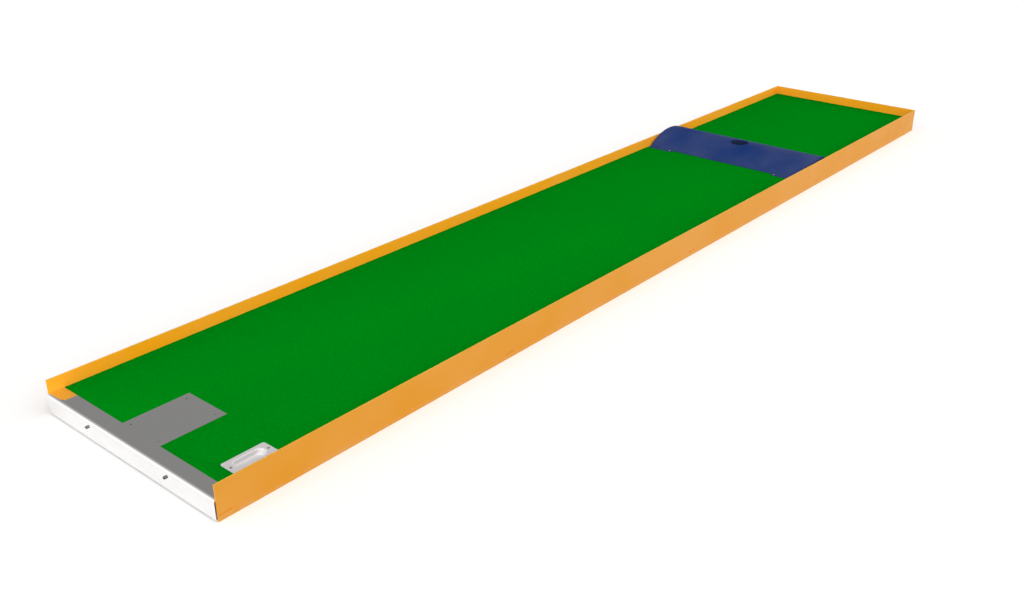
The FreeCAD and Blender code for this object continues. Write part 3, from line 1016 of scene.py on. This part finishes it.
@dataclass
class TeeEnd:
    """Polished tee sheet with its screws and the two bolts in its skirt."""

    head: float = 0.004
    bolt_head: float = 0.005
    proud: float = 0.0001

    def build(self, frame: dict, shop: Shop) -> None:
        """Dress the sheet and make its fixings."""
        shop.dress(frame, MIRROR_SHEET, "tee_sheet")
        low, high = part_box("tee_screws")
        screw = Screw(
            profile=(SHANK_TIP, (SHANK, -0.017), (SHANK, -0.0021), (0.0039, -0.0002)),
            crown=((self.head, self.proud), (0.0036, self.proud * 2)),
            drive=Socket.CROSS, drive_size=0.0046, drive_depth=0.0016,
        )
        points = corners_of(low, high, self.head, high.z)
        shop.drive("tee_screw_set", screw, points, UP, 3, SCREW_STEEL, "tee_screws")
        self.bolts(shop)

    def bolts(self, shop: Shop) -> None:
        """Make the cylindrical-head socket bolts in the skirt."""
        low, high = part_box("front_bolts")
        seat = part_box("tee_sheet")[0].y - low.y
        length = high.y - low.y
        head = self.bolt_head
        bolt = Screw(
            profile=(
                (0.0023, -length), (0.0030, -length + 0.001), (0.0030, -seat), (head - 0.0003, -seat),
                (head, 0.0004 - seat),
            ),
            crown=((head, -0.0006), (head - 0.0006, 0.0)),
            drive=Socket.HEX, drive_size=0.0050, drive_depth=0.0030,
        )
        height = (low.z + high.z) / 2
        points = [(x, low.y, height) for x in (low.x + head, high.x - head)]
        shop.drive("skirt_bolt_set", bolt, points, (0.0, -1.0, 0.0), 5, BLACK_STEEL, "front_bolts")


@dataclass
class BallTray:
    """Pressed tray for spare balls: a flat rim, a rolled mouth and a stadium-shaped trough."""

    rim_corner: float = 0.008
    trough_width: float = 0.044
    trough_length: float = 0.115
    ramp: float = 0.008
    thick: float = 0.0015
    mouth: float = 0.003
    foot: float = 0.005
    margin: float = 0.0008
    flat_floor: float = 0.006
    count: int = 128

    def build(self, shop: Shop) -> None:
        """Press the tray and drive its two screws."""
        low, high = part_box("ball_tray")
        centre = centre_of(low, high)
        half = ((high.x - low.x) / 2, (high.y - low.y) / 2)
        upper = self.section(centre, half, high.z, low.z + self.thick, 0.0)
        lower = self.section(centre, half, high.z - self.thick, low.z, self.thick)
        solid = Solid()
        solid.rings([*reversed(lower), *upper])
        shop.make(solid, "pressed_ball_tray", 40.0, TRAY_STEEL, ["ball_tray"])
        screw_low, screw_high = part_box("tray_screws")
        head = (screw_high.x - screw_low.x) / 2
        screw = Screw(
            profile=(SHANK_TIP, (SHANK, -0.017), (SHANK, -0.0016), (head * 0.97, -0.0001)),
            crown=((head, 0.0002), (head * 0.93, 0.0005), (head * 0.8, 0.0006)),
            drive=Socket.CROSS, drive_size=0.0046, drive_depth=0.0018,
        )
        points = [(centre[0], y, high.z) for y in (screw_low.y + head, screw_high.y - head)]
        shop.drive("tray_screw_set", screw, points, UP, 7, BLACK_STEEL, "tray_screws")

    def outlines(self, spread: float, slide: float = 0.0) -> tuple[list[Flat], list[Flat]]:
        """Return points round the trough and their outward directions.

        Args:
            spread: How far the points stand outside the trough's own outline.
            slide: How far both half-round ends are slid towards the middle.

        Returns:
            The points and, for each one, its outward direction.
        """
        radius = self.trough_width / 2
        straight = (self.trough_length - self.trough_width) / 2
        around = math.pi * radius
        total = 4 * straight + 2 * around
        points, directions = [], []
        for step in range(self.count):
            walk = (total * step / self.count + straight) % total
            if walk < 2 * straight:
                direction, base = (1.0, 0.0), (0.0, walk - straight)
            elif walk < 2 * straight + around:
                angle = (walk - 2 * straight) / radius
                direction, base = (math.cos(angle), math.sin(angle)), (0.0, straight)
            elif walk < 4 * straight + around:
                direction, base = (-1.0, 0.0), (0.0, straight - (walk - 2 * straight - around))
            else:
                angle = math.pi + (walk - 4 * straight - around) / radius
                direction, base = (math.cos(angle), math.sin(angle)), (0.0, -straight)
            reach = radius + spread
            along = base[1] * (1 - slide / straight)
            points.append((base[0] + direction[0] * reach, along + direction[1] * reach))
            directions.append(direction)
        return points, directions

    def to_rim(self, half: Flat, inset: float) -> list[Flat]:
        """Return where the trough's outward directions meet the rim's rounded rectangle."""
        points, directions = self.outlines(0.0)
        width, length = half[0] - inset, half[1] - inset
        corner = self.rim_corner - inset
        ring = []
        for (x, y), (dx, dy) in zip(points, directions):
            reach = min(
                (width - math.copysign(1, dx) * x) / abs(dx) if abs(dx) > NEARLY_ZERO else 1.0,
                (length - math.copysign(1, dy) * y) / abs(dy) if abs(dy) > NEARLY_ZERO else 1.0,
            )
            x, y = x + dx * reach, y + dy * reach
            over_x, over_y = abs(x) - (width - corner), abs(y) - (length - corner)
            if over_x > 0 and over_y > 0:
                scale = corner / math.hypot(over_x, over_y)
                x = math.copysign(width - corner + over_x * scale, x)
                y = math.copysign(length - corner + over_y * scale, y)
            ring.append((x, y))
        return ring

    def section(self, centre: Flat, half: Flat, rim: float, floor: float, grow: float) -> list[list[Point]]:
        """Return one face of the pressing as rings, from the rim's edge to the trough's floor.

        Args:
            centre: Middle of the tray.
            half: Half its width and length.
            rim: Height of this face's rim.
            floor: Height of this face's floor.
            grow: How far this face stands outside the inner one.

        Returns:
            Rings of points.
        """
        mouth, foot = self.mouth - grow, self.foot + grow
        border = ((0.0, rim - SOFT_EDGE), (SOFT_EDGE, rim))
        if grow:
            border = ((SOFT_EDGE, rim), (0.0, rim + SOFT_EDGE))
        rings = [[(x, y, height) for x, y in self.to_rim(half, inset)] for inset, height in border]
        turns = [math.radians(angle) for angle in (0, 22.5, 45, 67.5, 90)]
        profile = [(mouth + grow + self.margin, rim)]
        for turn in reversed(turns):
            profile.append((grow + mouth * (1 - math.cos(turn)), rim - mouth * (1 - math.sin(turn))))
        for turn in turns:
            profile.append((grow - foot * (1 - math.cos(turn)), floor + foot * (1 - math.sin(turn))))
        profile.append((grow - foot - self.flat_floor, floor))
        for spread, height in profile:
            slide = self.ramp * min(1.0, max(0.0, (rim - height) / (rim - floor)))
            rings.append([(x, y, height) for x, y in self.outlines(spread, slide)[0]])
        across, along = centre
        return [[(x + across, y + along, z) for x, y, z in ring] for ring in rings]


@dataclass
class Hump:
    """Blue bent sheet with feet at its corners, a hole at its crest and the cup inside."""

    thick: float = 0.0025
    tab_inner: float = 0.297
    relief: float = 0.0018
    tab_corner: float = 0.014
    bend: float = 0.004
    edge: float = 0.0005
    slices: int = 96
    bend_steps: int = 6
    cup_wall: float = 0.002
    cup_foot: float = 0.005
    cup_edge: float = 0.004
    screw_head: float = 0.005
    count: int = 96

    def __post_init__(self) -> None:
        """Read the arch's size from the frame."""
        low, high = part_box("hump_shell")
        tabs_low, tabs_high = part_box("hump_tabs")
        self.base = low.z
        self.half_width = high.x
        self.middle = (low.y + high.y) / 2
        self.half_chord = (high.y - low.y) / 2
        rise = high.z - low.z
        self.radius = (self.half_chord**2 + rise**2) / (2 * rise)
        self.axis_z = high.z - self.radius
        self.reach = (tabs_high.y - tabs_low.y) / 2
        cup_low, cup_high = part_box("cup_liner")
        self.hole = (cup_high.x - cup_low.x) / 2
        foot_top = self.base + self.thick
        self.turn = math.acos((foot_top + self.bend - self.axis_z) / (self.radius + self.bend))
        self.arc_run = self.radius * self.turn
        self.bend_run = self.bend * self.turn
        edge_angle = math.acos((self.base - self.axis_z) / (self.radius - self.thick))
        self.shell_run = self.radius * edge_angle
        bend_y = (self.radius + self.bend) * math.sin(self.turn)
        self.flat_run = self.reach - bend_y

    def pattern(self) -> list[list[Flat]]:
        """Return the flat cut of the sheet: its outline with four feet, and the round hole."""
        end = self.arc_run + self.bend_run + self.flat_run
        inner, corner = self.tab_inner, self.tab_corner
        slot = inner - self.relief
        right = [(slot, self.shell_run), (slot, self.arc_run), (inner, self.arc_run)]
        right += arc((inner + corner, end - corner), corner, 180, 90, 8)
        right += arc((self.half_width - corner, end - corner), corner, 90, 0, 8)
        left = [(-x, y) for x, y in reversed(right)]
        far = left + right
        near = [(-x, -y) for x, y in far]
        hole = [(x, y) for x, y, _ in circle(self.hole, 0.0, self.count)]
        return [far + near, hole]

    def bent(self, spot: Vector) -> Point:
        """Return where a point of the flat cut comes to lie in the bent sheet."""
        run, depth = abs(spot.y), self.thick - spot.z
        way = math.copysign(1.0, spot.y)
        is_foot = abs(spot.x) > self.tab_inner - self.relief / 2
        if run <= self.arc_run or not is_foot:
            angle = run / self.radius
            level = self.radius - depth
            across, height = level * math.sin(angle), self.axis_z + level * math.cos(angle)
        else:
            turned = min((run - self.arc_run) / self.bend, self.turn)
            beyond = max(0.0, run - self.arc_run - self.bend_run)
            centre_y = (self.radius + self.bend) * math.sin(self.turn)
            centre_z = self.axis_z + (self.radius + self.bend) * math.cos(self.turn)
            left_over = self.turn - turned
            level = self.bend + depth
            across = centre_y - level * math.sin(left_over) + beyond
            height = centre_z - level * math.cos(left_over)
        return spot.x, self.middle + way * across, max(height, self.base)

    def build(self, frame: dict, shop: Shop) -> None:
        """Cut, bend and fix the sheet, close its ends and set the cup under its hole."""
        mesh = filled_outline("hump_sheet", self.pattern(), 0.0, self.thick, self.edge)
        work = bmesh.new()
        work.from_mesh(mesh)
        span = self.arc_run + self.bend_run
        cuts = [-self.shell_run + 2 * self.shell_run * step / self.slices for step in range(1, self.slices)]
        for step in range(self.bend_steps + 1):
            cut = self.arc_run + self.bend_run * step / self.bend_steps
            cuts += [cut, -cut]
        for cut in sorted(cuts):
            parts = work.verts[:] + work.edges[:] + work.faces[:]
            bmesh.ops.bisect_plane(work, geom=parts, plane_co=(0, cut, 0), plane_no=(0, 1, 0))
        LOG.info("hump sheet bent from a flat cut %.3f m long", 2 * (span + self.flat_run))
        for vertex in work.verts:
            vertex.co = self.bent(vertex.co)
        work.to_mesh(mesh)
        work.free()
        finish_mesh(mesh, 40.0)
        place(mesh, "hump_sheet", shop.get(BLUE), ["hump_shell", "hump_tabs"])
        shop.dress(frame, BLUE, "hump_ends")
        self.screws(shop)
        self.cup(shop)

    def screws(self, shop: Shop) -> None:
        """Drive a pan-head screw through each foot."""
        low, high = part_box("hump_screws")
        head = self.screw_head
        screw = Screw(
            profile=(SHANK_TIP, (SHANK, -0.018), (SHANK, 0.0), (head, 0.0)),
            crown=((head, 0.0010), (0.0047, 0.0018), (0.0040, 0.0023), (0.0032, 0.0025)),
            drive=Socket.CROSS, drive_size=0.0050, drive_depth=0.0018,
        )
        points = corners_of(low, high, head, self.base + self.thick)
        shop.drive("hump_screw_set", screw, points, UP, 13, SCREW_STEEL, "hump_screws")

    def cup(self, shop: Shop) -> None:
        """Turn the cup: a plain wall whose top follows the arch, a rounded foot and a flat floor."""
        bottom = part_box("cup_liner")[0].z
        outer = self.hole
        inner = outer - self.cup_wall
        floor = bottom + self.cup_wall
        edge = self.cup_edge
        outside = [
            (PIP, bottom), (outer - edge, bottom), (outer - edge / 4, bottom + edge / 4),
            (outer, bottom + edge),
        ]
        inside = [(inner, floor + self.cup_foot)]
        inside += arc((inner - self.cup_foot, floor + self.cup_foot), self.cup_foot, 0, -90, 5)[1:]
        inside.append((PIP, floor))
        centre = (0.0, self.middle)
        solid = Solid()
        solid.rings([
            *lathe(outside, self.count, centre),
            self.follow_arch(outer),
            self.follow_arch(inner),
            *lathe(inside, self.count, centre),
        ])
        shop.make(solid, "hump_cup", 35.0, DARK_BLUE, ["cup_liner"])

    def follow_arch(self, radius: float) -> list[Point]:
        """Return the ring where an upright wall meets the underside of the arch."""
        clearance = 0.0001
        under = self.radius - self.thick
        return [
            (x, self.middle + y, self.axis_z + math.sqrt(under**2 - y * y) - clearance)
            for x, y, _ in circle(radius, 0.0, self.count)
        ]


@dataclass
class Foot:
    """One levelling foot: a threaded stud with a hexagon collar, on a ribbed rubber pad."""

    place_name: str
    side_name: str
    pitch: float = 0.00175
    thread_depth: float = 0.0009
    thread_start: float = 0.0135
    neck: float = 0.0045
    crest: float = 0.006
    run_out: float = 0.0012
    ring_count: int = 24
    steps_per_turn: int = 6
    collar_flats: float = 0.017
    collar_top: float = 0.013

    @property
    def key(self) -> str:
        """Return the foot's place and side, as its nodes' names give them."""
        return f"{self.place_name}_{self.side_name}"

    def build(self, shop: Shop) -> None:
        """Make the stud and the pad."""
        low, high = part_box(f"foot_stud_{self.key}")
        centre = centre_of(low, high)
        solid = Solid()
        solid.rings(self.collar(centre, low.z))
        solid.rings(self.thread(centre, low.z, high.z))
        body = f"foot_{self.key}"
        shop.make(
            solid, f"threaded_stud_{self.key}", 40.0, ZINC, [f"foot_stud_{self.key}"], body
        )
        self.pad(shop, centre, body)

    def collar(self, centre: Flat, bottom: float) -> list[list[Point]]:
        """Return the hexagon collar's rings, with its corners turned off at both faces."""
        apothem, chamfer = self.collar_flats / 2, 0.0007
        top = self.collar_top
        steps = 48
        rings = []
        for height, cap in (
            (bottom, 0.97), (bottom + chamfer, 1.2), (top - chamfer, 1.2), (top, 0.97),
        ):
            ring = []
            for step in range(steps):
                angle = math.tau * step / steps
                reach = min(socket_radius(Socket.HEX, self.collar_flats, angle), apothem * cap)
                ring.append(polar(centre, reach, angle, height))
            rings.append(ring)
        return rings

    def thread(self, centre: Flat, bottom: float, top: float) -> list[list[Point]]:
        """Return the stud's rings: plain in the pad, then a 60 degree thread to its end."""
        levels = (bottom, self.thread_start)
        rings = [circle(self.neck, level, self.ring_count, centre) for level in levels]
        rows = int((top - self.thread_start) / self.pitch * self.steps_per_turn)
        for row in range(1, rows + 1):
            height = self.thread_start + (top - self.thread_start) * row / rows
            taper = min(1.0, (row + 2) / 10, (rows - row + 2) / 10)
            ring = []
            for step in range(self.ring_count):
                share = ((height / self.pitch) - step / self.ring_count) % 1.0
                depth = self.thread_depth * (1 - abs(2 * share - 1)) + (1 - taper) * self.run_out
                ring.append(polar(centre, self.crest - depth, math.tau * step / self.ring_count, height))
            rings.append(ring)
        return rings

    def pad(self, shop: Shop, centre: Flat, body: str) -> None:
        """Make the rubber pad: a domed top, a ribbed rim and a recessed sole."""
        node = f"foot_pad_{self.key}"
        low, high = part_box(node)
        radius = (high.x - low.x) / 2
        height = high.z - low.z
        recess = low.z + 0.0008
        ribs = (
            (1.0, 0.30), (0.965, 0.36), (0.965, 0.46), (1.0, 0.52), (1.0, 0.72), (0.96, 0.86), (0.88, 0.96),
        )
        profile = [
            (PIP, recess), (radius * 0.55, recess), (radius * 0.60, low.z), (radius * 0.93, low.z),
            (radius, low.z + 0.001), *((radius * out, low.z + height * up) for out, up in ribs),
            (radius * 0.76, high.z), (PIP, high.z),
        ]
        solid = Solid()
        solid.rings(lathe(profile, 64, centre))
        shop.make(solid, f"rubber_pad_{self.key}", 40.0, RUBBER, [node], body)


@dataclass
class Studio:
    """Pale floor, a soft white tent with one dim panel, a weak broad key light and the camera."""

    focal_mm: float = 37.76
    eye: Point = (2.6462, -3.8270, 1.8436)
    turn_degrees: float = 40.105
    tilt_degrees: float = 25.548
    zenith: float = 1.25
    horizon: float = 1.75
    dim: float = 0.288
    dim_towards: Point = (-0.788, 0.287, 0.545)
    dim_core: float = 0.955
    dim_rim: float = 0.26
    key_power: float = 0.8
    key_angle: float = 60.0
    floor_reach: float = 60.0

    def build(self, shop: Shop) -> None:
        """Set the stage."""
        self.floor(shop)
        self.lights()
        self.camera()

    def floor(self, shop: Shop) -> None:
        """Lay the floor, far wider than the view."""
        reach = self.floor_reach
        mesh = bpy.data.meshes.new("studio_floor")
        corners = [(-reach, -reach, 0.0), (reach, -reach, 0.0), (reach, reach, 0.0), (-reach, reach, 0.0)]
        mesh.from_pydata(corners, [], [(0, 1, 2, 3)])
        mesh.materials.append(shop.get(FLOOR))
        floor = bpy.data.objects.new("studio_floor", mesh)
        bpy.context.scene.collection.objects.link(floor)

    def lights(self) -> None:
        """Wrap the stage in a soft white tent with one dim panel, and add a weak broad key."""
        scene = bpy.context.scene
        world = bpy.data.worlds.new("studio_tent")
        world.use_nodes = True
        nodes, links = world.node_tree.nodes, world.node_tree.links
        towards = nodes.new("ShaderNodeTexCoord").outputs["Generated"]
        split = nodes.new("ShaderNodeSeparateXYZ")
        links.new(towards, split.inputs["Vector"])
        fade = self.fade(world, split.outputs["Z"], (0.0, 1.0), (self.horizon, self.zenith))
        facing = nodes.new("ShaderNodeVectorMath")
        facing.operation = "DOT_PRODUCT"
        facing.inputs[1].default_value = Vector(self.dim_towards).normalized()
        links.new(towards, facing.inputs[0])
        panel = self.fade(world, facing.outputs["Value"], (self.dim_rim, self.dim_core), (0.0, 1.0))
        blend = nodes.new("ShaderNodeMix")
        links.new(panel, blend.inputs["Factor"])
        links.new(fade, blend.inputs["A"])
        blend.inputs["B"].default_value = self.dim
        background = nodes["Background"]
        background.inputs["Color"].default_value = (1.0, 0.992, 0.984, 1.0)
        links.new(blend.outputs["Result"], background.inputs["Strength"])
        scene.world = world
        scene.view_settings.view_transform = "Standard"
        data = bpy.data.lights.new("soft_key", "SUN")
        data.energy = self.key_power
        data.angle = math.radians(self.key_angle)
        light = bpy.data.objects.new("soft_key", data)
        light.rotation_mode = "QUATERNION"
        light.rotation_quaternion = Vector((-0.45, 0.55, -0.7)).to_track_quat("-Z", "Y")
        scene.collection.objects.link(light)

    def fade(self, world: bpy.types.World, value: Output, across: Flat, result: Flat) -> Output:
        """Return a smooth change of a value from one pair of numbers to another."""
        node = world.node_tree.nodes.new("ShaderNodeMapRange")
        node.interpolation_type = "SMOOTHSTEP"
        node.inputs["From Min"].default_value, node.inputs["From Max"].default_value = across
        node.inputs["To Min"].default_value, node.inputs["To Max"].default_value = result
        world.node_tree.links.new(value, node.inputs["Value"])
        return node.outputs["Result"]

    def camera(self) -> None:
        """Stand the camera beside the tee, looking down the lane."""
        data = bpy.data.cameras.new("camera")
        data.sensor_width = 36.0
        data.lens = self.focal_mm
        data.clip_end = 200.0
        camera = bpy.data.objects.new("camera", data)
        camera.location = self.eye
        camera.rotation_euler = (math.radians(90 - self.tilt_degrees), 0.0, math.radians(self.turn_degrees))
        bpy.context.scene.collection.objects.link(camera)
        bpy.context.scene.camera = camera


def main() -> None:
    """Load the frame and build every sub-assembly around it."""
    logging.basicConfig(level=logging.INFO, format="%(name)s: %(message)s")
    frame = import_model()
    shop = Shop()
    Studio().build(shop)
    Rails().build(frame, shop)
    Underframe().build(frame, shop)
    CarpetLane().build(shop)
    TeeEnd().build(frame, shop)
    BallTray().build(shop)
    Hump().build(frame, shop)
    for place_name in ("front", "middle", "rear"):
        for side in Side:
            Foot(place_name, side.name.lower()).build(shop)
    bpy.context.view_layer.update()


if __name__ == "__main__":
    main()
